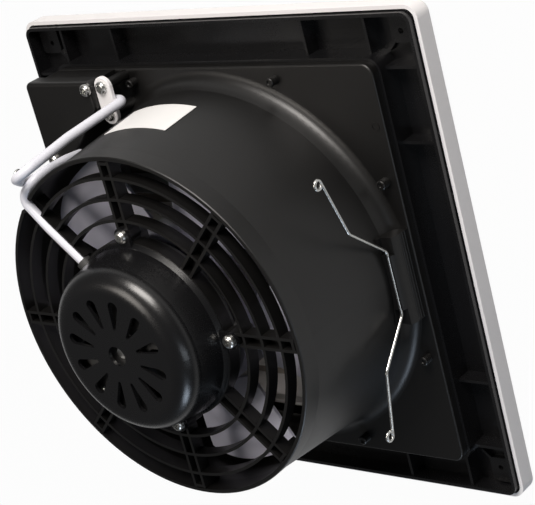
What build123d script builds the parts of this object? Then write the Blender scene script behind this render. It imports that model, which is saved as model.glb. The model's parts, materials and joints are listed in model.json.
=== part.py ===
# Ceiling exhaust fan with a louvred front panel, an outlet duct and fold-down spring clips
# Origin: bottom centre of the front panel's face; +Z is the fan axis, up into the ceiling
import os
from math import cos, radians, sin, sqrt, tan
from build123d import *

os.makedirs("parts", exist_ok=True)

# Clearances
seat_gap = 0.1
running_gap = 0.03
pin_gap = 0.15
cord_gap = 0.25

# Front panel
panel_side = 300.0
panel_corner = 8.0
panel_height = 12.3
panel_wall = 2.2
panel_face = 3.0
opening_half = 107.0
louvre_pitch = 19.5
louvre_thick = 1.8
louvre_depth = 13.0
louvre_tilt = 40.0
opening_wall = 2.0
opening_wall_top = 10.0

# Ceiling frame
rim_gap = 0.8
frame_half = panel_side / 2 - panel_wall - rim_gap
frame_corner = 6.0
frame_top = 16.0
frame_floor = 2.0
frame_wall = 2.0
socket_wall = 1.9
socket_top = 20.0
ledge_half = 113.0
rib_thick = 1.8
rib_places = (-116.5, -73.4, 73.4, 116.5)
corner_hole = 134.3
corner_hole_r = 1.6
pad_half = 8.0
pad_rise = 3.0

# Fan body
body_half = 122.5
body_corner = 7.0
body_wall = 2.0
plate_top = 25.0
plate_thick = 2.5
duct_foot_r = 113.5
duct_land_r = 106.2
duct_land = 12.0
duct_top = 116.3
duct_wall = 2.5
bell_r = 7.0

# Posts and rivets between the frame and the body
rivet_near = 54.3
rivet_far = 114.5
rivet_r = 2.0
rivet_head_r = 2.8
rivet_rise = 5.5
post_wall = 1.8

# Outlet guard
guard_height = 8.0
guard_thick = 1.8
guard_rings = (93.3, 80.6, 67.9)
seat_ring_r = 55.2
seat_ring_width = 8.0
spoke_gauge = 6.8
spoke_count = 8
guard_pad_length = 6.0
screw_ring_r = 59.3
ear_r = 5.2

# Motor
motor_centre_bore = 47.4
core_r = 43.0
core_low = 110.0
core_high = 126.0
rotor_r = 22.0
air_gap = 0.5
shaft_r = 4.0
shaft_low = 49.0
shaft_high = 143.0
bearing_r = 11.0
bearing_width = 7.0
bracket_wall = 2.6
flange_thick = 2.5
front_floor = 100.0
rear_top = 140.5
bolt_ring_r = 39.2
bolt_r = 1.5
winding_inner = 24.0
winding_outer = 36.5

# Motor cover
cover_foot_r = 54.3
cover_shoulder_r = 50.4
cover_top = 147.0
cover_round = 12.0
cover_wall = 2.2
slot_count = 12
slot_inner_r = 17.0
slot_outer_r = 35.2
cover_hole_r = 6.1
ear_thick = 2.2

# Screws
m4_r = 2.0
m4_head_r = 3.9
m4_head = 2.6
m4_clear_r = 2.2

# Impeller
hub_r = 50.0
hub_low = 57.0
hub_high = 96.5
hub_wall = 2.5
hub_boss_r = 9.5
blade_count = 5
blade_start = -12.0
tip_gap = 3.2
blade_thick = 2.0

# Spring clips
wire_r = 0.9
clip_x = 115.5
leg_z = 39.7
leg_half = 19.5
bend_y = 42.5
bend_z = 66.5
tip_y = 78.0
tip_z = 78.4
loop_r = 2.6
arm_droop = 6.5
rack_half = 26.5
rack_out = 121.0
rack_r = 15.0

# Terminal box
box_out = 122.4
box_in = 68.0
box_cut = 106.7
box_top = 39.5
lid_top = 49.3
box_wall = 2.0
lid_over = 1.0
lid_screw_r = 3.9

# Cord clamp
clamp_x = -60.6
clamp_width = 12.5
clamp_far = 119.0
clamp_near = 101.8
clamp_thick = 2.6
clamp_post_r = 3.2

# Motor lead
lead_r = 3.0
lead_z = 40.0
lead_y = 109.0
lead_over_z = 115.0
lead_angle = 135.0


# Shared values that follow from the sizes above
plate_low = plate_top - plate_thick
socket_half = body_half + seat_gap
socket_out = socket_half + socket_wall
floor_low = panel_face
floor_high = floor_low + frame_floor
land_low = duct_top - duct_land
duct_slope = (duct_foot_r - duct_land_r) / (land_low - plate_top)
guard_low = duct_top - guard_height
rivet_spots = [(sx * a, sy * b) for a, b in ((rivet_near, rivet_far), (rivet_far, rivet_near))
               for sx in (-1, 1) for sy in (-1, 1)]
ear_spots = [(screw_ring_r * cos(radians(a)), screw_ring_r * sin(radians(a))) for a in (0, 90, 180, 270)]
bolt_spots = [(bolt_ring_r * cos(radians(a)), bolt_ring_r * sin(radians(a))) for a in (45, 135, 225, 315)]


def duct_r(z):
    """Outside radius of the duct at a height."""
    return duct_land_r if z >= land_low else duct_land_r + (land_low - z) * duct_slope


# Motor lead's centre line, from the terminal block to the motor
lead_points = [
    (-84, lead_y, lead_z), (-50.4, lead_y, lead_z), (-51.4, 108.1, 53), (-54, 104.8, 88),
    (-54.5, 100, 123), (-63, 95.4, 126.3), (-87, 81.8, 101.3), (-93.5, 73.5, 62),
    (-88.5, 73.5, 53), (-81.3, 81.6, 57), (-71.3, 87.2, 80), (-65, 89.8, 101),
    (-67.2, 87.4, 112.8), (-76.4, 78.0, lead_over_z), (-60, 60, lead_over_z + 0.5),
    (-34.5, 34.5, lead_over_z + 0.5),
]


def bend_radii(points):
    """The widest arc that fits at each inner point."""
    radii = []
    for a, b, c in zip(points, points[1:], points[2:]):
        u = Vector(*b) - Vector(*a)
        v = Vector(*c) - Vector(*b)
        half = radians(u.get_angle(v)) / 2
        radii.append(min(60.0, 0.45 * min(u.length, v.length) / tan(half)))
    return radii


# Front panel: face border, rim and slanted louvres
with BuildPart() as front_grille:
    with BuildSketch():
        RectangleRounded(panel_side, panel_side, panel_corner)
        Rectangle(2 * opening_half, 2 * opening_half, mode=Mode.SUBTRACT)
    extrude(amount=panel_face)
    with BuildSketch(Plane.XY.offset(panel_face)):
        RectangleRounded(panel_side, panel_side, panel_corner)
        inner = panel_side - 2 * panel_wall
        RectangleRounded(inner, inner, panel_corner - panel_wall, mode=Mode.SUBTRACT)
    extrude(amount=panel_height - panel_face)
    fillet(front_grille.edges().group_by(Axis.Z)[0].filter_by_position(Axis.X, -150.1, 150.1)
           .sort_by(lambda e: -e.bounding_box().diagonal)[0:4], 1.6)
    with BuildSketch(Plane.XY.offset(panel_face)):
        Rectangle(2 * (opening_half + opening_wall), 2 * (opening_half + opening_wall))
        Rectangle(2 * opening_half, 2 * opening_half, mode=Mode.SUBTRACT)
    extrude(amount=opening_wall_top - panel_face)
    louvres = int(opening_half / louvre_pitch)
    for i in range(-louvres, louvres + 1):
        lift = louvre_depth / 2 * cos(radians(louvre_tilt)) + louvre_thick / 2
        with BuildSketch(Plane.YZ.offset(-opening_half)):
            with Locations((i * louvre_pitch, lift)):
                Rectangle(louvre_thick, louvre_depth, rotation=louvre_tilt)
        extrude(amount=2 * opening_half)
front_grille.part.label = "front_grille"
export_step(front_grille.part, "parts/front_grille.step")

# Ceiling frame: channel with cross ribs, a socket for the body, posts and screw pads
with BuildPart() as ceiling_frame:
    with BuildSketch(Plane.XY.offset(floor_low)):
        RectangleRounded(2 * frame_half, 2 * frame_half, frame_corner)
        Rectangle(2 * ledge_half, 2 * ledge_half, mode=Mode.SUBTRACT)
    extrude(amount=frame_floor)
    with BuildSketch(Plane.XY.offset(floor_high)):
        RectangleRounded(2 * frame_half, 2 * frame_half, frame_corner)
        inner = 2 * (frame_half - frame_wall)
        RectangleRounded(inner, inner, frame_corner - frame_wall, mode=Mode.SUBTRACT)
    extrude(amount=frame_top - floor_high)
    with BuildSketch(Plane.XY.offset(floor_high)):
        RectangleRounded(2 * socket_out, 2 * socket_out, body_corner + seat_gap + socket_wall)
        RectangleRounded(2 * socket_half, 2 * socket_half, body_corner + seat_gap, mode=Mode.SUBTRACT)
    extrude(amount=socket_top - floor_high)
    rib_mid = (socket_out + frame_half) / 2 - 0.5
    rib_length = frame_half - socket_out - 0.4
    rib_drop = 1.0
    with BuildSketch(Plane.XY.offset(floor_high)):
        for p in rib_places:
            for s in (-1, 1):
                with Locations((p, s * rib_mid)):
                    Rectangle(rib_thick, rib_length)
                with Locations((s * rib_mid, p)):
                    Rectangle(rib_length, rib_thick)
    extrude(amount=frame_top - floor_high - rib_drop)
    with BuildSketch(Plane.XY.offset(floor_high)):
        for sx in (-1, 1):
            for sy in (-1, 1):
                with Locations((sx * (corner_hole + 1.5), sy * (corner_hole + 1.5))):
                    RectangleRounded(2 * pad_half, 2 * pad_half, 3)
                with Locations((sx * 126.5, sy * 126.5)):
                    Rectangle(8, rib_thick, rotation=45 * sx * sy)
    extrude(amount=pad_rise)
    with BuildSketch(Plane.XY.offset(floor_low)):
        with Locations(*[(x * corner_hole, y * corner_hole) for x in (-1, 1) for y in (-1, 1)]):
            Circle(corner_hole_r)
    extrude(amount=frame_top, mode=Mode.SUBTRACT)
    post_side = 2 * (rivet_r + post_wall)
    for x, y in rivet_spots:
        with BuildSketch(Plane.XY.offset(floor_low)):
            with Locations((x, y)):
                Rectangle(post_side, post_side)
        extrude(amount=plate_low - floor_low)
        with BuildSketch(Plane.XY.offset(floor_low)):
            with Locations((x, y)):
                Circle(rivet_r)
        extrude(amount=plate_low - floor_low, mode=Mode.SUBTRACT)
ceiling_frame.part.label = "ceiling_frame"
export_step(ceiling_frame.part, "parts/ceiling_frame.step")

# Fan body: square tray, bell and outlet duct in one moulding
bell_high = plate_top + bell_r + 3
mouth_r = duct_foot_r - duct_wall - 4
with BuildPart() as fan_body:
    with BuildSketch(Plane.XY.offset(floor_high)):
        RectangleRounded(2 * body_half, 2 * body_half, body_corner)
    extrude(amount=plate_top - floor_high)
    fillet(fan_body.faces().sort_by(Axis.Z)[-1].edges(), 1.0)
    with BuildSketch(Plane.XY.offset(floor_high)):
        inner = 2 * (body_half - body_wall)
        RectangleRounded(inner, inner, body_corner - body_wall)
    extrude(amount=plate_low - floor_high, mode=Mode.SUBTRACT)
    with BuildSketch(Plane.XY.offset(plate_low)):
        Circle(duct_foot_r - 1)
    extrude(amount=plate_thick, mode=Mode.SUBTRACT)
    with BuildSketch(Plane.XZ):
        with BuildLine():
            foot = duct_foot_r + bell_r
            Polyline((mouth_r, plate_low), (foot - 1, plate_low), (foot - 1, plate_top - 0.01), (foot, plate_top))
            Bezier((foot, plate_top), (duct_foot_r + 1.0, plate_top + 0.4), (duct_r(bell_high), bell_high))
            Polyline((duct_r(bell_high), bell_high), (duct_land_r, land_low), (duct_land_r, duct_top - 0.5),
                     (duct_land_r - 0.5, duct_top), (duct_land_r - duct_wall, duct_top),
                     (duct_land_r - duct_wall, land_low), (duct_foot_r - duct_wall - 1, plate_low + 6))
            Bezier((duct_foot_r - duct_wall - 1, plate_low + 6), (duct_foot_r - duct_wall - 1.2, plate_low + 2),
                   (mouth_r, plate_low))
        make_face()
    revolve(axis=Axis.Z)
    # ledges under the guard's spokes
    pad_r = duct_land_r - duct_wall - guard_pad_length
    for i in range(spoke_count):
        with BuildSketch(Plane.XY.offset(guard_low - 5)):
            with Locations(Rotation(0, 0, 360 / spoke_count * i)):
                with Locations((pad_r + guard_pad_length / 2 + 0.6, 0)):
                    Rectangle(guard_pad_length + 1.2, spoke_gauge + guard_thick)
        extrude(amount=5)
    # posts under the cord clamp
    with BuildSketch(Plane.XY.offset(plate_top - 0.5)):
        with Locations((clamp_x, clamp_far), (clamp_x, clamp_near)):
            Circle(clamp_post_r)
    extrude(amount=lead_z + lead_r + 0.1 - plate_top + 0.5)
    for y in (clamp_far, clamp_near):
        with BuildSketch(Plane.XY.offset(plate_top + 2)):
            with Locations((clamp_x, y)):
                Circle(m4_r)
        extrude(amount=lead_z, mode=Mode.SUBTRACT)
    # holes for the rivets
    with BuildSketch(Plane.XY.offset(plate_low - 1)):
        with Locations(*rivet_spots):
            Circle(rivet_r)
    extrude(amount=plate_thick + 2, mode=Mode.SUBTRACT)
    # holes down through the plate for the terminal box screws
    with BuildSketch(Plane.XY.offset(plate_low - 1)):
        with Locations((-95, 116), (-116, 95)):
            Circle(1.6)
    extrude(amount=plate_thick + 2, mode=Mode.SUBTRACT)
    # notch in the rim where the motor lead crosses
    with BuildSketch(Plane.XY.offset(lead_over_z - lead_r - 4 * cord_gap)):
        with Locations(Rotation(0, 0, lead_angle)):
            with Locations((duct_land_r, 0)):
                Rectangle(4 * duct_wall, 2 * (lead_r + 2.6))
    extrude(amount=30, mode=Mode.SUBTRACT)
    # small round mark on the plate
    with BuildSketch(Plane.XY.offset(plate_top)):
        with Locations((116.4, 86.7)):
            Circle(2.6)
            Circle(1.9, mode=Mode.SUBTRACT)
    extrude(amount=0.3)
fan_body.part.label = "fan_body"
export_step(fan_body.part, "parts/fan_body.step")

# Ribbed rivets that hold the body to the frame
rivet_low = 10.0
rivets = []
for x, y in rivet_spots:
    with BuildPart() as rivet:
        with BuildSketch(Plane.XZ):
            with BuildLine():
                top = plate_top + rivet_rise
                step = rivet_rise / 4
                points = [(0, rivet_low), (rivet_r - 0.5, rivet_low), (rivet_r, rivet_low + 1.5), (rivet_r, plate_top)]
                for i in range(3):
                    points += [(rivet_head_r, plate_top + step * i), (rivet_head_r, plate_top + step * (i + 0.5)),
                               (rivet_r, plate_top + step * (i + 0.75)), (rivet_r, plate_top + step * (i + 1))]
                points += [(rivet_head_r, plate_top + 3 * step), (rivet_head_r, top - 0.4), (rivet_head_r - 0.5, top),
                           (1.4, top), (1.0, top - 0.8), (0, top - 0.8), (0, rivet_low)]
                Polyline(*points)
            make_face()
        revolve(axis=Axis.Z)
    rivets.append(Pos(x, y, 0) * rivet.part)
frame_rivets = Compound(label="frame_rivets", children=rivets)
export_step(frame_rivets, "parts/frame_rivets.step")

# Outlet guard: rings, double-ribbed spokes and the motor's seat
guard_out = duct_land_r - duct_wall - seat_gap
with BuildPart() as outlet_guard:
    for r in guard_rings:
        with BuildSketch(Plane.XY.offset(guard_low)):
            Circle(r + guard_thick / 2)
            Circle(r - guard_thick / 2, mode=Mode.SUBTRACT)
        extrude(amount=guard_height)
    with BuildSketch(Plane.XY.offset(guard_low)):
        Circle(seat_ring_r)
        Circle(motor_centre_bore, mode=Mode.SUBTRACT)
    extrude(amount=guard_height)
    for i in range(spoke_count):
        with BuildSketch(Plane.XY.offset(guard_low)):
            with Locations(Rotation(0, 0, 360 / spoke_count * i)):
                mid = (seat_ring_r + guard_out) / 2 - 1
                length = guard_out - seat_ring_r + 1.4
                with Locations((mid, spoke_gauge / 2), (mid, -spoke_gauge / 2)):
                    Rectangle(length, guard_thick)
                with Locations((guard_out - 1.6, 0)):
                    Rectangle(guard_thick, spoke_gauge)
        extrude(amount=guard_height)
        with BuildSketch(Plane.XY.offset(guard_low)):
            with Locations(Rotation(0, 0, 360 / spoke_count * i)):
                with Locations((mid, 0)):
                    Rectangle(length, spoke_gauge)
        extrude(amount=1.6)
    for x, y in ear_spots:
        with BuildSketch(Plane.XY.offset(guard_low)):
            with Locations((x, y)):
                Circle(ear_r)
        extrude(amount=guard_height)
    for x, y in ear_spots:
        with BuildSketch(Plane.XY.offset(guard_low - 1)):
            with Locations((x, y)):
                Circle(m4_clear_r)
        extrude(amount=guard_height + 2, mode=Mode.SUBTRACT)
    with BuildSketch(Plane.XY.offset(lead_over_z - lead_r - 2 * cord_gap)):
        with Locations(Rotation(0, 0, lead_angle)):
            with Locations((78, 0)):
                Rectangle(62.4, 2 * (lead_r + cord_gap))
    extrude(amount=30, mode=Mode.SUBTRACT)
    with BuildSketch(Plane.XY.offset(lead_over_z - lead_r - 4 * cord_gap)):
        with Locations(Rotation(0, 0, lead_angle)):
            with Locations((guard_out - 4, 0)):
                Rectangle(12, 2 * (lead_r + 2.6))
    extrude(amount=30, mode=Mode.SUBTRACT)
    with BuildSketch(Plane.XY.offset(lead_over_z + 0.5 - lead_r - 1.7)):
        with Locations(Rotation(0, 0, lead_angle)):
            with Locations((52.3, 0)):
                Rectangle(11.5, 2 * (lead_r + 1.7))
    extrude(amount=30, mode=Mode.SUBTRACT)
outlet_guard.part.label = "outlet_guard"
export_step(outlet_guard.part, "parts/outlet_guard.step")

# Motor cover: domed, with teardrop vents and four ears
with BuildPart() as motor_cover:
    with BuildSketch(Plane.XZ):
        with BuildLine():
            shoulder_z = cover_top - cover_round
            skin = cover_round - cover_wall
            flat_r = cover_shoulder_r - cover_round
            rise = 0.7071
            Polyline((cover_hole_r, cover_top), (flat_r, cover_top))
            ThreePointArc((flat_r, cover_top), (flat_r + cover_round * rise, shoulder_z + cover_round * rise),
                          (cover_shoulder_r, shoulder_z))
            Polyline((cover_shoulder_r, shoulder_z), (cover_foot_r - 1.5, duct_top + 3), (cover_foot_r, duct_top),
                     (cover_foot_r - cover_wall, duct_top), (cover_foot_r - cover_wall - 1.2, duct_top + 3),
                     (cover_shoulder_r - cover_wall, shoulder_z))
            ThreePointArc((cover_shoulder_r - cover_wall, shoulder_z),
                          (flat_r + skin * rise, shoulder_z + skin * rise), (flat_r, cover_top - cover_wall))
            Polyline((flat_r, cover_top - cover_wall), (cover_hole_r, cover_top - cover_wall),
                     (cover_hole_r, cover_top))
        make_face()
    revolve(axis=Axis.Z)
    small = 1.0
    large = 3.4
    with BuildSketch(Plane.XY, mode=Mode.PRIVATE) as vent:
        with BuildLine():
            Polyline((slot_inner_r + small, small), (slot_outer_r - large, large))
            ThreePointArc((slot_outer_r - large, large), (slot_outer_r, 0), (slot_outer_r - large, -large))
            Polyline((slot_outer_r - large, -large), (slot_inner_r + small, -small))
            ThreePointArc((slot_inner_r + small, -small), (slot_inner_r, 0), (slot_inner_r + small, small))
        make_face()
    with BuildSketch(Plane.XY.offset(cover_top - 2 * cover_wall)):
        for i in range(slot_count):
            add(Rot(0, 0, 360 / slot_count * (i + 0.5)) * vent.sketch)
    extrude(amount=4 * cover_wall, mode=Mode.SUBTRACT)
    for i in range(4):
        with BuildSketch(Plane.XY.offset(duct_top)):
            with Locations(Rotation(0, 0, 90 * i)):
                with Locations((screw_ring_r, 0)):
                    Circle(ear_r)
                with Locations((screw_ring_r - 3.5, 0)):
                    Rectangle(6, 2 * ear_r)
        extrude(amount=ear_thick)
    with BuildSketch(Plane.XY.offset(duct_top - 1)):
        with Locations(*ear_spots):
            Circle(m4_clear_r)
    extrude(amount=ear_thick + 2, mode=Mode.SUBTRACT)
    grommet_r = lead_r + 1.6
    with BuildSketch(Plane((0, 0, lead_over_z + 0.5), x_dir=(sin(radians(lead_angle)), -cos(radians(lead_angle)), 0),
                           z_dir=(cos(radians(lead_angle)), sin(radians(lead_angle)), 0))):
        Circle(grommet_r)
    extrude(amount=cover_foot_r + 5, mode=Mode.SUBTRACT)
motor_cover.part.label = "motor_cover"
export_step(motor_cover.part, "parts/motor_cover.step")


def pan_screw(length, head_r=m4_head_r, head=m4_head, shank_r=m4_r, slot=2.2):
    """A pan head screw pointing down from the origin, with a cross recess."""
    with BuildPart(mode=Mode.PRIVATE) as screw:
        with BuildSketch(Plane.XZ):
            with BuildLine():
                Polyline((0, -length), (shank_r - 0.4, -length), (shank_r, -length + 0.6), (shank_r, 0), (head_r, 0),
                         (head_r, head * 0.35))
                ThreePointArc((head_r, head * 0.35), (head_r * 0.83, head * 0.8), (head_r * 0.5, head))
                Polyline((head_r * 0.5, head), (0, head), (0, -length))
            make_face()
        revolve(axis=Axis.Z)
        with BuildSketch(Plane.XY.offset(head)):
            Rectangle(2 * slot, 0.9)
            Rectangle(0.9, 2 * slot)
        extrude(amount=-head * 0.6, mode=Mode.SUBTRACT)
    return screw.part


# Screws through the cover's ears and the guard into the motor's front bracket
motor_screws = Compound(label="motor_screws", children=[
    Pos(x, y, duct_top + ear_thick) * Rot(0, 0, 20) * pan_screw(16.0) for x, y in ear_spots])
export_step(motor_screws, "parts/motor_screws.step")

# Front bracket of the motor: bearing cup, stator ledge and flange with ears
bracket_out = core_r + bracket_wall
with BuildPart() as front_bracket:
    with BuildSketch(Plane.XZ):
        with BuildLine():
            Polyline((bearing_r - 3, front_floor - 8), (bearing_r + 3, front_floor - 8), (bearing_r + 4, front_floor),
                     (core_r - 2, front_floor), (bracket_out - 0.4, front_floor + 3), (bracket_out - 0.4, guard_low - flange_thick),
                     (seat_ring_r - 1, guard_low - flange_thick), (seat_ring_r - 1, guard_low),
                     (bracket_out - 0.4, guard_low), (bracket_out - 0.4, core_low + 5), (core_r, core_low + 5),
                     (core_r, core_low), (core_r - 2, core_low), (core_r - 2, front_floor + bracket_wall),
                     (bearing_r, front_floor + bracket_wall), (bearing_r, front_floor - 6),
                     (bearing_r - 3, front_floor - 6), (bearing_r - 3, front_floor - 8))
        make_face()
    revolve(axis=Axis.Z)
    for x, y in ear_spots:
        with BuildSketch(Plane.XY.offset(guard_low - 6)):
            with Locations((x, y)):
                Circle(ear_r - 0.4)
            with Locations((x * 0.93, y * 0.93)):
                Rectangle(2 * ear_r - 2, 2 * ear_r - 2)
        extrude(amount=6)
    for x, y in ear_spots:
        with BuildSketch(Plane.XY.offset(guard_low - 7)):
            with Locations((x, y)):
                Circle(m4_r)
        extrude(amount=8, mode=Mode.SUBTRACT)
    with BuildSketch(Plane.XY.offset(front_floor - 1)):
        with Locations(*bolt_spots):
            Circle(bolt_r)
        with PolarLocations(27, 8):
            SlotOverall(16, 6)
    extrude(amount=bracket_wall + 2, mode=Mode.SUBTRACT)
front_bracket.part.label = "front_bracket"
export_step(front_bracket.part, "parts/front_bracket.step")

# Rear bracket of the motor: the cup seen through the cover's vents
with BuildPart() as rear_bracket:
    with BuildSketch(Plane.XZ):
        with BuildLine():
            top = rear_top
            Polyline((bracket_out - 0.4, core_high - 5), (bracket_out - 0.4, top - 3), (bracket_out - 3.4, top),
                     (bearing_r + 3, top), (bearing_r + 2.4, top + 1.5), (shaft_r + 1, top + 1.5), (shaft_r + 1, top - 0.5),
                     (bearing_r, top - 0.5), (bearing_r, top - 2 - bearing_width), (bearing_r + 3, top - 2 - bearing_width),
                     (bearing_r + 3, top - bracket_wall), (core_r - 4, top - bracket_wall), (core_r - 2, top - 4.6),
                     (core_r - 2, core_high), (core_r, core_high), (core_r, core_high - 5), (bracket_out - 0.4, core_high - 5))
        make_face()
    revolve(axis=Axis.Z)
    with BuildSketch(Plane.XY.offset(rear_top - bracket_wall - 3)):
        with Locations(*bolt_spots):
            Circle(bolt_r)
        with PolarLocations(26.5, 6, start_angle=0):
            SlotOverall(14, 7)
    extrude(amount=bracket_wall + 4, mode=Mode.SUBTRACT)
    # side opening where the lead goes in to the windings
    with BuildSketch(Plane.XY.offset(core_high + 3)):
        with Locations(Rotation(0, 0, lead_angle)):
            with Locations((core_r, 0)):
                Rectangle(12, 2 * lead_r + 2)
    extrude(amount=6, mode=Mode.SUBTRACT)
rear_bracket.part.label = "rear_bracket"
export_step(rear_bracket.part, "parts/rear_bracket.step")

# Stator core: laminated ring with teeth
slot_total = 12
with BuildPart() as stator_core:
    with BuildSketch(Plane.XY.offset(core_low)):
        Circle(core_r)
        Circle(rotor_r + air_gap, mode=Mode.SUBTRACT)
        with PolarLocations(0.5 * (winding_inner + winding_outer) + 0.4, slot_total, start_angle=15):
            SlotOverall(winding_outer - winding_inner - 1, 6.6, mode=Mode.SUBTRACT)
        with Locations(*bolt_spots):
            Circle(bolt_r + pin_gap, mode=Mode.SUBTRACT)
    extrude(amount=core_high - core_low)
stator_core.part.label = "stator_core"
export_step(stator_core.part, "parts/stator_core.step")

# Stator windings: end turns above and below with legs through the slots
turn_height = 5.5
with BuildPart() as stator_windings:
    for z in (core_low - turn_height, core_high):
        with BuildSketch(Plane.XY.offset(z)):
            Circle(winding_outer)
            Circle(winding_inner, mode=Mode.SUBTRACT)
        extrude(amount=turn_height)
    with BuildSketch(Plane.XY.offset(core_low - 0.5)):
        with PolarLocations(0.5 * (winding_inner + winding_outer) + 0.4, slot_total, start_angle=15):
            SlotOverall(winding_outer - winding_inner - 2, 5.6)
    extrude(amount=core_high - core_low + 1)
    turns = stator_windings.edges().filter_by(GeomType.CIRCLE).filter_by(lambda e: e.radius > winding_inner - 0.1)
    fillet(turns.group_by(Axis.Z)[-1] + turns.group_by(Axis.Z)[0], 2.0)
stator_windings.part.label = "stator_windings"
export_step(stator_windings.part, "parts/stator_windings.step")

# Bolts that clamp the two brackets over the stator core
bolt_length = rear_top - front_floor + 2
bracket_bolts = Compound(label="bracket_bolts", children=[
    Pos(x, y, rear_top) * pan_screw(bolt_length, 2.7, 2.0, bolt_r, 1.6) for x, y in bolt_spots])
export_step(bracket_bolts, "parts/bracket_bolts.step")

# Rotor core on the shaft
with BuildPart() as rotor_core:
    with BuildSketch(Plane.XY.offset(core_low)):
        Circle(rotor_r)
        Circle(shaft_r, mode=Mode.SUBTRACT)
    extrude(amount=core_high - core_low)
    for z in (core_low - 2, core_high):
        with BuildSketch(Plane.XY.offset(z)):
            Circle(rotor_r - 1.5)
            Circle(rotor_r - 7, mode=Mode.SUBTRACT)
        extrude(amount=2)
rotor_core.part.label = "rotor_core"
export_step(rotor_core.part, "parts/rotor_core.step")

# Motor shaft, with a cross hole for the impeller's drive pin
pin_r = 1.0
pin_z = hub_low + 29
thread_r = 2.5
with BuildPart() as motor_shaft:
    with BuildSketch(Plane.XZ):
        with BuildLine():
            Polyline((0, shaft_low), (thread_r - 0.5, shaft_low), (thread_r, shaft_low + 0.6), (thread_r, hub_low + 1),
                     (shaft_r, hub_low + 1), (shaft_r, shaft_high - 0.6), (shaft_r - 0.6, shaft_high), (0, shaft_high),
                     (0, shaft_low))
        make_face()
    revolve(axis=Axis.Z)
    with BuildSketch(Plane.YZ.offset(-10)):
        with Locations((0, pin_z)):
            Circle(pin_r)
    extrude(amount=20, mode=Mode.SUBTRACT)
motor_shaft.part.label = "motor_shaft"
export_step(motor_shaft.part, "parts/motor_shaft.step")

# Drive pin across the shaft
pin_half = 7.0
with BuildPart() as drive_pin:
    with BuildSketch(Plane.YZ.offset(-pin_half)):
        with Locations((0, pin_z)):
            Circle(pin_r)
    extrude(amount=2 * pin_half)
drive_pin.part.label = "drive_pin"
export_step(drive_pin.part, "parts/drive_pin.step")

# Bearings, each as one ring with its shields set back
for name, low in (("front_bearing", front_floor - 6), ("rear_bearing", rear_top - 0.5 - bearing_width)):
    with BuildPart() as bearing:
        with BuildSketch(Plane.XZ):
            with BuildLine():
                inside = shaft_r + running_gap
                high = low + bearing_width
                Polyline((inside, low), (inside + 2, low), (inside + 2, low + 0.5), (bearing_r - 2, low + 0.5),
                         (bearing_r - 2, low), (bearing_r, low), (bearing_r, high), (bearing_r - 2, high),
                         (bearing_r - 2, high - 0.5), (inside + 2, high - 0.5), (inside + 2, high), (inside, high),
                         (inside, low))
            make_face()
        revolve(axis=Axis.Z)
    bearing.part.label = name
    export_step(bearing.part, "parts/" + name + ".step")

# Impeller: hub cup with five wide blades
tip_r = duct_land_r - duct_wall - tip_gap
with BuildPart() as impeller:
    with BuildSketch(Plane.XZ):
        with BuildLine():
            Polyline((shaft_r, hub_low + 1), (thread_r + pin_gap, hub_low + 1), (thread_r + pin_gap, hub_low),
                     (hub_r - 4, hub_low), (hub_r, hub_low + 4), (hub_r, hub_high),
                     (hub_r - hub_wall, hub_high), (hub_r - hub_wall, hub_low + hub_wall + 1.5),
                     (hub_boss_r + 1, hub_low + hub_wall + 1.5), (hub_boss_r, pin_z + 1.5), (shaft_r, pin_z + 1.5),
                     (shaft_r, hub_low + 1))
        make_face()
    revolve(axis=Axis.Z)
    with BuildSketch(Plane.YZ.offset(-pin_half - 0.5)):
        with Locations((0, pin_z)):
            Circle(pin_r + 0.02)
        with Locations((0, pin_z + 2)):
            Rectangle(2 * pin_r + 0.04, 4)
    extrude(amount=2 * pin_half + 1, mode=Mode.SUBTRACT)
impeller_hub = impeller.part

blade_mid = (hub_low + hub_high) / 2 + 1
blade_stations = ((hub_r - 1.5, 47.0, 40.0, 0.0), (76.0, 62.0, 31.0, 3.0), (tip_r + 2, 74.0, 24.0, 8.0))
with BuildPart() as blade:
    for r, chord, pitch, lead_shift in blade_stations:
        bow = chord * 0.09
        with BuildSketch(Plane(origin=(r, lead_shift, blade_mid), x_dir=(0, 1, 0), z_dir=(1, 0, 0))):
            with Locations(Rotation(0, 0, -pitch)):
                with BuildLine():
                    ThreePointArc((-chord / 2, 0), (0, bow), (chord / 2, 0))
                    Line((chord / 2, 0), (chord / 2, blade_thick))
                    ThreePointArc((chord / 2, blade_thick), (0, bow + blade_thick), (-chord / 2, blade_thick))
                    Line((-chord / 2, blade_thick), (-chord / 2, 0))
                make_face()
    loft()
    with BuildSketch(Plane.XY.offset(hub_low - 10)):
        Circle(tip_r)
        Circle(hub_r - 0.5, mode=Mode.SUBTRACT)
    extrude(amount=hub_high - hub_low + 30, mode=Mode.INTERSECT)
impeller_solid = impeller_hub
for i in range(blade_count):
    impeller_solid = impeller_solid + Rot(0, 0, blade_start + 360 / blade_count * i) * blade.part
impeller_solid.label = "impeller"
export_step(impeller_solid, "parts/impeller.step")

# Flanged nut under the impeller's hub
nut_thick = 5.0
with BuildPart() as impeller_nut:
    with BuildSketch(Plane.XY.offset(hub_low - nut_thick)):
        RegularPolygon(4.6, 6)
    extrude(amount=nut_thick)
    with BuildSketch(Plane.XY.offset(hub_low - 1.2)):
        Circle(6.5)
    extrude(amount=1.2)
    with BuildSketch(Plane.XY.offset(hub_low - nut_thick - 1)):
        Circle(thread_r)
    extrude(amount=nut_thick + 2, mode=Mode.SUBTRACT)
impeller_nut.part.label = "impeller_nut"
export_step(impeller_nut.part, "parts/impeller_nut.step")

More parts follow.
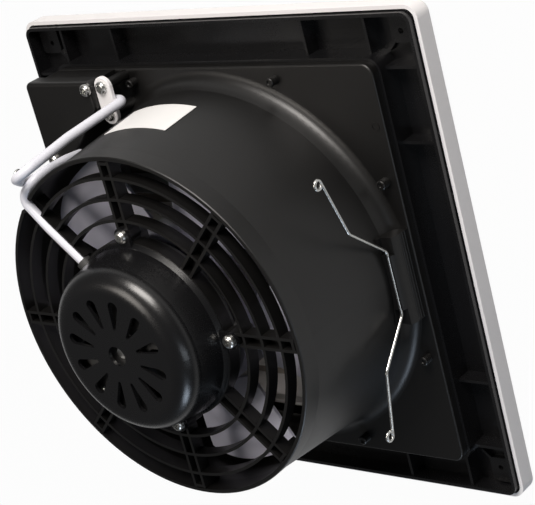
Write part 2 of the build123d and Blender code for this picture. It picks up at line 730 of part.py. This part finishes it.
# Spring clips, drawn folded up: a middle leg, two sloping arms and a loop at each end
for side, name in ((1, "right"), (-1, "left")):
    x = side * clip_x
    slope_y = tip_y - bend_y
    slope_z = tip_z - bend_z
    run = sqrt(slope_y ** 2 + slope_z ** 2)
    with BuildPart() as wire_clip:
        with BuildLine() as wire:
            FilletPolyline((x, -tip_y, tip_z - arm_droop), (x, -bend_y, bend_z - arm_droop / 3),
                           (x, -leg_half, leg_z), (x, leg_half, leg_z), (x, bend_y, bend_z), (x, tip_y, tip_z),
                           radius=5.0)
        with BuildSketch(Plane(origin=wire.line @ 0, z_dir=wire.line % 0)):
            Circle(wire_r)
        sweep()
        for s in (-1, 1):
            ny = -slope_z / run
            nz = slope_y / run
            drop = arm_droop if s < 0 else 0
            with Locations(Location(Plane(origin=(x, s * (tip_y + ny * loop_r), tip_z - drop + nz * loop_r),
                                          z_dir=(1, 0, 0)))):
                Torus(loop_r, wire_r, major_angle=360)
    wire_clip.part.label = "wire_clip_" + name
    export_step(wire_clip.part, "parts/wire_clip_" + name + ".step")

    # Rack: a quarter-round block with a groove for the clip's middle leg
    back_x = 102.0
    with BuildPart() as rack:
        with BuildSketch(Plane.XZ.offset(-rack_half)):
            with BuildLine():
                high = plate_top + rack_r
                crest = clip_x + wire_r + 0.8
                Polyline((back_x, plate_top), (rack_out, plate_top), (rack_out, plate_top + 1))
                ThreePointArc((rack_out, plate_top + 1), (rack_out - 0.9, plate_top + rack_r * 0.62), (crest, high))
                Polyline((crest, high), (back_x, high), (back_x, plate_top))
            make_face()
        extrude(amount=2 * rack_half)
        # room for the duct and its bell
        with BuildSketch(Plane.XZ):
            with BuildLine():
                foot = duct_foot_r + bell_r + 0.3
                reach = plate_top + rack_r + 5
                Polyline((95, plate_top - 1), (foot, plate_top - 1), (foot, plate_top + 0.15))
                Bezier((foot, plate_top + 0.15), (duct_foot_r + 1.3, plate_top + 0.6),
                       (duct_r(bell_high) + 0.2, bell_high))
                Polyline((duct_r(bell_high) + 0.2, bell_high), (duct_r(reach) + 0.2, reach), (95, reach),
                         (95, plate_top - 1))
            make_face()
        revolve(axis=Axis.Z, mode=Mode.SUBTRACT)
        # groove for the wire, and room beside it for the arms to swing out
        with BuildSketch(Plane.XZ.offset(-rack_half)):
            with Locations((clip_x, leg_z)):
                Circle(wire_r + pin_gap / 3)
            with Locations((clip_x, leg_z + 2)):
                Rectangle(2 * wire_r, 4)
        extrude(amount=2 * rack_half, mode=Mode.SUBTRACT)
        arm_y = leg_half - 3
        for s in (-1, 1):
            with BuildSketch(Plane.XY.offset(leg_z - 2.2)):
                with Locations((clip_x + 5, s * (arm_y + rack_half) / 2)):
                    Rectangle(18, rack_half - arm_y + 0.02)
            extrude(amount=6, mode=Mode.SUBTRACT)
        # lengthwise grooves on the outer face
        for i in range(5):
            with BuildSketch(Plane.XZ.offset(-rack_half)):
                with Locations((rack_out - 0.02 * i * i, plate_top + 2.6 + 2.1 * i)):
                    Circle(0.6)
            extrude(amount=2 * rack_half, mode=Mode.SUBTRACT)
    rack_part = rack.part if side > 0 else mirror(rack.part, about=Plane.YZ)
    rack_part.label = "clip_rack_" + name
    export_step(rack_part, "parts/clip_rack_" + name + ".step")


def box_outline(grow):
    """Corner points of the terminal box, larger or smaller by grow all round."""
    shift = grow * tan(radians(22.5))
    return [(-box_out - grow, box_in - grow), (-box_out - grow, box_out + grow), (-box_in + grow, box_out + grow),
            (-box_in + grow, box_cut - shift), (-box_cut + shift, box_in - grow), (-box_out - grow, box_in - grow)]


lid_screws = ((-70.8, 118.7), (-116.5, 73.0))
box_pegs = ((-95.0, 116.0), (-116.0, 95.0))
entry_r = 4.0
entry_y = 108.0
entry_z = 33.25
grommet_wall = 1.2

# Terminal box base
with BuildPart() as terminal_box:
    with BuildSketch(Plane.XY.offset(plate_top)):
        with BuildLine():
            Polyline(*box_outline(0))
        make_face()
    extrude(amount=box_top - plate_top)
    fillet(terminal_box.edges().filter_by(Axis.Z).sort_by_distance((-box_out, box_out, 32))[0], body_corner)
    with BuildSketch(Plane.XY.offset(plate_top + box_wall)):
        with BuildLine():
            Polyline(*box_outline(-box_wall))
        make_face()
    extrude(amount=box_top, mode=Mode.SUBTRACT)
    with BuildSketch(Plane.XY.offset(plate_top + 0.5)):
        with Locations(*lid_screws):
            Circle(lid_screw_r - 1.2)
    extrude(amount=box_top - plate_top - 0.5)
    with BuildSketch(Plane.XY.offset(plate_top + 4)):
        with Locations(*lid_screws):
            Circle(1.6)
    extrude(amount=box_top, mode=Mode.SUBTRACT)
    with BuildSketch(Plane.XY.offset(plate_low)):
        with Locations(*box_pegs):
            Circle(1.6)
    extrude(amount=plate_thick)
    with BuildSketch(Plane.YZ.offset(-box_in - 5)):
        with Locations((lead_y, lead_z)):
            Circle(lead_r + cord_gap)
    extrude(amount=10, mode=Mode.SUBTRACT)
    with BuildSketch(Plane.YZ.offset(-box_out - 5)):
        with Locations((entry_y, entry_z)):
            Circle(entry_r + grommet_wall)
    extrude(amount=10, mode=Mode.SUBTRACT)
terminal_box.part.label = "terminal_box"
export_step(terminal_box.part, "parts/terminal_box.step")

# Terminal box cover with rounded edges
with BuildPart() as terminal_cover:
    with BuildSketch(Plane.XY.offset(box_top)):
        with BuildLine():
            Polyline(*box_outline(lid_over))
        make_face()
    extrude(amount=lid_top - box_top)
    fillet(terminal_cover.edges().filter_by(Axis.Z), 4.0)
    fillet(terminal_cover.faces().sort_by(Axis.Z)[-1].edges(), 2.4)
    with BuildSketch(Plane.XY.offset(box_top)):
        with BuildLine():
            Polyline(*box_outline(lid_over - box_wall - 1))
        make_face()
    extrude(amount=lid_top - box_top - box_wall, mode=Mode.SUBTRACT)
    with BuildSketch(Plane.XY.offset(box_top)):
        with Locations(*lid_screws):
            Circle(lid_screw_r - 0.6)
    extrude(amount=lid_top - box_top - 0.5)
    with BuildSketch(Plane.XY.offset(box_top - 1)):
        with Locations(*lid_screws):
            Circle(m4_clear_r)
    extrude(amount=lid_top, mode=Mode.SUBTRACT)
    with BuildSketch(Plane.YZ.offset(-box_in - 6)):
        with Locations((lead_y, lead_z)):
            Circle(lead_r + cord_gap)
    extrude(amount=12, mode=Mode.SUBTRACT)
terminal_cover.part.label = "terminal_cover"
export_step(terminal_cover.part, "parts/terminal_cover.step")

cover_screws = Compound(label="cover_screws", children=[
    Pos(x, y, lid_top) * Rot(0, 0, 35) * pan_screw(18.0, shank_r=1.6) for x, y in lid_screws])
export_step(cover_screws, "parts/cover_screws.step")

# Terminal block with a screw at each way
block_x = -95.0
block_long = 22.0
block_wide = 15.0
block_high = 16.0
ways = 3
with BuildPart() as terminal_block:
    with BuildSketch(Plane.XY.offset(plate_top + box_wall)):
        with Locations((block_x, lead_y - 1)):
            RectangleRounded(block_long, block_wide, 1)
    extrude(amount=block_high)
    with BuildSketch(Plane.XY.offset(plate_top + box_wall + block_high)):
        for i in range(ways - 1):
            with Locations((block_x + block_long * ((i + 1) / ways - 0.5), lead_y - 1)):
                Rectangle(1.2, block_wide)
    extrude(amount=-5, mode=Mode.SUBTRACT)
    way_spots = [(block_x + block_long * ((i + 0.5) / ways - 0.5), lead_y - 1) for i in range(ways)]
    with BuildSketch(Plane.XY.offset(plate_top + box_wall + block_high - 6)):
        with Locations(*way_spots):
            Circle(1.5)
    extrude(amount=7, mode=Mode.SUBTRACT)
terminal_block.part.label = "terminal_block"
export_step(terminal_block.part, "parts/terminal_block.step")

terminal_screws = Compound(label="terminal_screws", children=[
    Pos(x, y, plate_top + box_wall + block_high) * pan_screw(5.5, 2.7, 1.8, 1.5, 1.8) for x, y in way_spots])
export_step(terminal_screws, "parts/terminal_screws.step")

# Run capacitor
with BuildPart() as run_capacitor:
    with BuildSketch(Plane.XY.offset(plate_top + box_wall)):
        with Locations((-108, 88)):
            RectangleRounded(20, 13, 2.5)
    extrude(amount=18)
    fillet(run_capacitor.faces().sort_by(Axis.Z)[-1].edges(), 1.0)
run_capacitor.part.label = "run_capacitor"
export_step(run_capacitor.part, "parts/run_capacitor.step")

# Grommet at the supply entry
with BuildPart() as supply_grommet:
    with BuildSketch(Plane.XZ):
        with BuildLine():
            ring = entry_r + grommet_wall
            Polyline((entry_r, -box_wall / 2 - 1.2), (ring + 1, -box_wall / 2 - 1.2), (ring + 1, -box_wall / 2),
                     (ring, -box_wall / 2), (ring, box_wall / 2), (ring + 0.2, box_wall / 2),
                     (ring + 0.2, box_wall / 2 + 1.2), (entry_r, box_wall / 2 + 1.2), (entry_r, -box_wall / 2 - 1.2))
        make_face()
    revolve(axis=Axis.Z)
grommet = Pos(-box_out + box_wall / 2, entry_y, entry_z) * Rot(0, 90, 0) * supply_grommet.part
grommet.label = "supply_grommet"
export_step(grommet, "parts/supply_grommet.step")

# Cord clamp and its screws
strap_low = lead_z + lead_r + 0.1
with BuildPart() as cord_clamp:
    with BuildSketch(Plane.XY.offset(strap_low)):
        with Locations((clamp_x, (clamp_far + clamp_near) / 2)):
            SlotCenterToCenter(clamp_far - clamp_near, clamp_width, rotation=90)
        with Locations((clamp_x, clamp_far), (clamp_x, clamp_near)):
            Circle(m4_clear_r, mode=Mode.SUBTRACT)
    extrude(amount=clamp_thick)
    fillet(cord_clamp.faces().sort_by(Axis.Z)[-1].outer_wire().edges(), 0.7)
cord_clamp.part.label = "cord_clamp"
export_step(cord_clamp.part, "parts/cord_clamp.step")

clamp_screws = Compound(label="clamp_screws", children=[
    Pos(clamp_x, y, strap_low + clamp_thick) * Rot(0, 0, 15) * pan_screw(14.0) for y in (clamp_far, clamp_near)])
export_step(clamp_screws, "parts/clamp_screws.step")

# Motor lead along its whole route
lead_radii = bend_radii(lead_points)
with BuildPart() as motor_lead:
    with BuildLine() as lead_line:
        FilletPolyline(*lead_points, radius=lead_radii)
    with BuildSketch(Plane(origin=lead_line.line @ 0, z_dir=lead_line.line % 0)):
        Circle(lead_r)
    sweep(transition=Transition.ROUND)
motor_lead.part.label = "motor_lead"
export_step(motor_lead.part, "parts/motor_lead.step")
print("lead radii", [round(r, 1) for r in lead_radii])
lead_length = sum(e.length for e in lead_line.edges())
print("lead length", round(lead_length, 1))
print("lead volume", round(motor_lead.part.volume), "section times length",
      round(3.14159 * lead_r ** 2 * lead_length))

# Grommet where the lead enters the motor cover
lead_plane = Plane((0, 0, lead_over_z + 0.5), x_dir=(sin(radians(lead_angle)), -cos(radians(lead_angle)), 0),
                   z_dir=(cos(radians(lead_angle)), sin(radians(lead_angle)), 0))
with BuildPart() as lead_grommet:
    with BuildSketch(lead_plane.offset(seat_ring_r - seat_ring_width + 2.2)):
        Circle(lead_r + 1.5)
        Circle(lead_r, mode=Mode.SUBTRACT)
    extrude(amount=seat_ring_width)
lead_grommet.part.label = "lead_grommet"
export_step(lead_grommet.part, "parts/lead_grommet.step")

# Blank label wrapped round the duct
label_from = 80.7
label_arc = 26.0
label_low = 53.0
label_high = 81.0
label_thick = 0.25
label_gap = 0.15
with BuildPart() as rating_label:
    with BuildSketch(Plane.XZ):
        with BuildLine():
            inside_low = duct_r(label_low) + label_gap
            inside_high = duct_r(label_high) + label_gap
            Polyline((inside_low, label_low), (inside_low + label_thick, label_low),
                     (inside_high + label_thick, label_high), (inside_high, label_high), (inside_low, label_low))
        make_face()
    revolve(axis=Axis.Z, revolution_arc=label_arc)
label_part = Rot(0, 0, label_from) * rating_label.part
label_part.label = "rating_label"
export_step(label_part, "parts/rating_label.step")
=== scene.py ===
import bpy, json
from mathutils import Matrix, Vector

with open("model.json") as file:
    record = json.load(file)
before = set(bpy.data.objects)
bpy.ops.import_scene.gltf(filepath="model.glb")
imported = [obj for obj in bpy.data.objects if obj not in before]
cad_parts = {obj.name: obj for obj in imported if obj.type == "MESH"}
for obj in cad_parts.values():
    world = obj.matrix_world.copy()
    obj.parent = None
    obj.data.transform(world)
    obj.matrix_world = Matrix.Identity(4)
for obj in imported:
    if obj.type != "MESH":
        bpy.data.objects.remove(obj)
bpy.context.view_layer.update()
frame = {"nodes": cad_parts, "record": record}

patch_scale = 24.0       # broad noise, in patches per metre
lighter = 0.7            # light patches depart less from the colour than dark ones do
coat_rough = 0.08
relief_depth = 0.0002    # height of the fine grain, in metres


class Sock:
    """One output socket of a node, so that a shader tree reads as a sum."""

    def __init__(self, tree, socket):
        self.tree = tree
        self.socket = socket

    @classmethod
    def node(cls, tree, kind, settings, inputs, output=0):
        made = tree.nodes.new(kind)
        for key, value in settings.items():
            setattr(made, key, value)
        for key, value in inputs.items():
            if isinstance(value, cls):
                tree.links.new(value.socket, made.inputs[key])
            else:
                made.inputs[key].default_value = value
        return cls(tree, made.outputs[output])

    def math(self, operation, other):
        return Sock.node(self.tree, "ShaderNodeMath", {"operation": operation}, {0: self, 1: other})

    def __add__(self, other):
        return self.math("ADD", other)

    def __mul__(self, other):
        return self.math("MULTIPLY", other)

    __radd__ = __add__
    __rmul__ = __mul__


def surface(name, colour, rough, vary=0.08, grain=1400.0, bump=0.05, metal=0.0, coat=0.0, patch=0.12):
    """A material whose tone, roughness and relief carry a fine and a broad noise."""
    mat = bpy.data.materials.new(name)
    mat.use_nodes = True
    tree = mat.node_tree
    shader = tree.nodes["Principled BSDF"]
    shader.inputs["Metallic"].default_value = metal
    shader.inputs["Coat Weight"].default_value = coat
    shader.inputs["Coat Roughness"].default_value = coat_rough
    place = Sock.node(tree, "ShaderNodeTexCoord", {}, {}, "Object")
    fine = Sock.node(tree, "ShaderNodeTexNoise", {}, {"Vector": place, "Scale": grain, "Detail": 3.0})
    broad = Sock.node(tree, "ShaderNodeTexNoise", {}, {"Vector": place, "Scale": patch_scale, "Detail": 4.0})
    dark = tuple(c * (1.0 - patch) for c in colour) + (1.0,)
    light = tuple(min(1.0, c * (1.0 + lighter * patch)) for c in colour) + (1.0,)
    # inputs 6 and 7 are the two colours, and output 2 is their mix
    tone = Sock.node(tree, "ShaderNodeMix", {"data_type": "RGBA"}, {0: broad, 6: dark, 7: light}, 2)
    roughness = broad * vary + fine * (vary * 0.5) + (rough - vary * 0.75)
    relief = Sock.node(tree, "ShaderNodeBump", {}, {"Height": fine, "Strength": bump, "Distance": relief_depth})
    tree.links.new(tone.socket, shader.inputs["Base Color"])
    tree.links.new(roughness.socket, shader.inputs["Roughness"])
    tree.links.new(relief.socket, shader.inputs["Normal"])
    return mat


def dress(slot, finish):
    """Gives the finish to every CAD node whose material slot has this name."""
    for entry in frame["record"]["subparts"]:
        if entry["material_slot"] == slot:
            for place in frame["nodes"][entry["node"]].material_slots:
                place.material = finish


dress("white_plastic", surface("panel white", (0.70, 0.69, 0.70), 0.34, bump=0.04, patch=0.04))

# Recess frame and motor cover: black mouldings with a smooth, glossy face.
# The frame goes into the ceiling opening, and the cover is screwed over the motor.
dress("black_gloss", surface("gloss black", (0.0045, 0.0045, 0.005), 0.27, vary=0.06, bump=0.03))

# Tray with its outlet duct, guard, terminal box and clip racks: black mouldings with a finely
# grained face. The tray is riveted to the recess frame, and the rivets are as dark as it is.
dress("black_satin", surface("satin black", (0.0026, 0.0024, 0.0023), 0.40, vary=0.10, grain=2200.0, bump=0.14))

# Impeller: five blades and a hub moulded in pale grey plastic, pinned to the motor's shaft.
# It shows between the guard's rings.
dress("fan_grey", surface("fan grey", (0.66, 0.66, 0.78), 0.36, bump=0.04, patch=0.05))

# Motor: cast brackets at both ends of a stack of steel sheets, with varnished copper windings.
# Four bolts draw the brackets together under the cover.
dress("die_cast", surface("die cast", (0.16, 0.16, 0.16), 0.55, vary=0.12, metal=1.0, bump=0.25))
dress("laminations", surface("steel sheet", (0.20, 0.20, 0.21), 0.45, metal=1.0, bump=0.1))
dress("copper", surface("varnished wire", (0.42, 0.15, 0.05), 0.32, metal=0.6, bump=0.3, coat=0.3))

# Screws, bolts, nut, pin, shaft, bearings and spring clips: bright plated steel.
# The clips are bent from one wire each, with a loop at both ends.
dress("zinc", surface("zinc plate", (0.62, 0.62, 0.60), 0.28, vary=0.14, metal=1.0, bump=0.08))

# Terminal box fittings: a grey capacitor case inside the box, and soft black rubber grommets
# where the supply enters the box and where the lead enters the motor cover.
dress("capacitor_grey", surface("capacitor case", (0.30, 0.32, 0.35), 0.45))
dress("rubber", surface("rubber", (0.02, 0.02, 0.02), 0.62, bump=0.1))

# Motor lead: a round cable with a smooth white sheath, from the terminal box over the duct's rim
# to the motor cover, with a slack loop on the far side.
dress("cable_white", surface("cable sheath", (0.60, 0.61, 0.67), 0.36, bump=0.05, patch=0.03))

# Rating label: a blank white sticker, curved round the outlet duct.
# Its paper is a little duller than the panel.
dress("label_white", surface("blank label", (0.66, 0.66, 0.66), 0.40, bump=0.03, patch=0.03))

# Floor: one plain pale sheet under the panel. The camera and reflections see part of it as a
# white glow, like the photograph's ground, while it lights the part as mid grey paper.
floor_half = 6.0
floor_height = -0.0005
camera_glow = 0.97
mirror_glow = 0.42


def sheet(name, half, height, material):
    mesh = bpy.data.meshes.new(name)
    corners = [(-half, -half, height), (half, -half, height), (half, half, height), (-half, half, height)]
    mesh.from_pydata(corners, [], [(0, 1, 2, 3)])
    mesh.materials.append(material)
    made = bpy.data.objects.new(name, mesh)
    bpy.context.scene.collection.objects.link(made)
    return made


ground = surface("floor", (0.30, 0.30, 0.30), 0.8, patch=0.0, bump=0.0)
tree = ground.node_tree
seen = Sock.node(tree, "ShaderNodeLightPath", {}, {}, "Is Camera Ray")
mirrored = Sock.node(tree, "ShaderNodeLightPath", {}, {}, "Is Glossy Ray")
paper = Sock(tree, tree.nodes["Principled BSDF"].outputs[0])
glow = Sock.node(tree, "ShaderNodeEmission", {}, {"Color": (1.0, 1.0, 1.0, 1.0), "Strength": 1.0})
share = seen * camera_glow + mirrored * mirror_glow
both = Sock.node(tree, "ShaderNodeMixShader", {}, {0: share, 1: paper, 2: glow})
tree.links.new(both.socket, tree.nodes["Material Output"].inputs["Surface"])
floor = sheet("floor", floor_half, floor_height, ground)

# Shaded ground: a darker sheet under the panel's opening, where the part keeps the light off.
# It lies just over the floor, and shows only through the louvres.
shade_half = 0.13
shade_height = -0.0003
shade = sheet("shade", shade_half, shade_height,
              surface("shaded floor", (0.34, 0.30, 0.27), 0.7, patch=0.0, bump=0.0))

# Light: a dim white surround and four softboxes. The key is broad and warm, on the side that lies
# at the top of the picture. A second warm one hangs over the part, and two weak cool ones fill the
# right side and the lower side.
surround = 0.10
world = bpy.data.worlds.new("studio")
bpy.context.scene.world = world
world.use_nodes = True
backdrop = world.node_tree.nodes["Background"]
backdrop.inputs["Color"].default_value = (1.0, 1.0, 1.0, 1.0)
backdrop.inputs["Strength"].default_value = surround


def softbox(name, place, aim, size, power, colour):
    lamp = bpy.data.lights.new(name, "AREA")
    lamp.shape = "RECTANGLE"
    lamp.size = size[0]
    lamp.size_y = size[1]
    lamp.energy = power
    lamp.color = colour
    made = bpy.data.objects.new(name, lamp)
    made.location = place
    made.rotation_euler = (Vector(aim) - Vector(place)).to_track_quat("-Z", "Y").to_euler()
    bpy.context.scene.collection.objects.link(made)


softbox("key", (0.35, 1.25, 0.75), (0, 0, 0.05), (0.8, 0.6), 30.0, (1.0, 0.95, 0.90))
softbox("side", (1.1, -0.35, 0.75), (0, 0, 0.08), (0.25, 0.6), 1.6, (0.82, 0.90, 1.0))
softbox("top", (-0.35, 0.35, 1.2), (0, 0, 0.1), (0.5, 0.5), 5.0, (1.0, 0.93, 0.86))
softbox("low", (0.25, -0.9, 0.55), (0, 0, 0.12), (0.3, 0.3), 2.4, (0.72, 0.84, 1.0))

# Camera: the photograph's angle, rolled as the object lies in it.
# The focal length is in pixels of the photograph, and the directions are those of its frame.
photo_width = 535
focal_pixels = 1770.1
sensor = 36.0
eye = Vector((0.68912, 0.38277, 0.72766))
right = Vector((0.76158, -0.24424, -0.60028)).normalized()
view = Vector((-0.64595, -0.36086, -0.67270)).normalized()
up = right.cross(view).normalized()
camera_data = bpy.data.cameras.new("camera")
camera_data.lens = focal_pixels / photo_width * sensor
camera_data.sensor_width = sensor
camera_data.clip_start = 0.05
camera_data.clip_end = 50.0
camera = bpy.data.objects.new("camera", camera_data)
camera.matrix_world = Matrix(((right.x, up.x, -view.x, eye.x), (right.y, up.y, -view.y, eye.y),
                              (right.z, up.z, -view.z, eye.z), (0, 0, 0, 1)))
bpy.context.scene.collection.objects.link(camera)
bpy.context.scene.camera = camera
bpy.context.scene.view_settings.view_transform = "Standard"
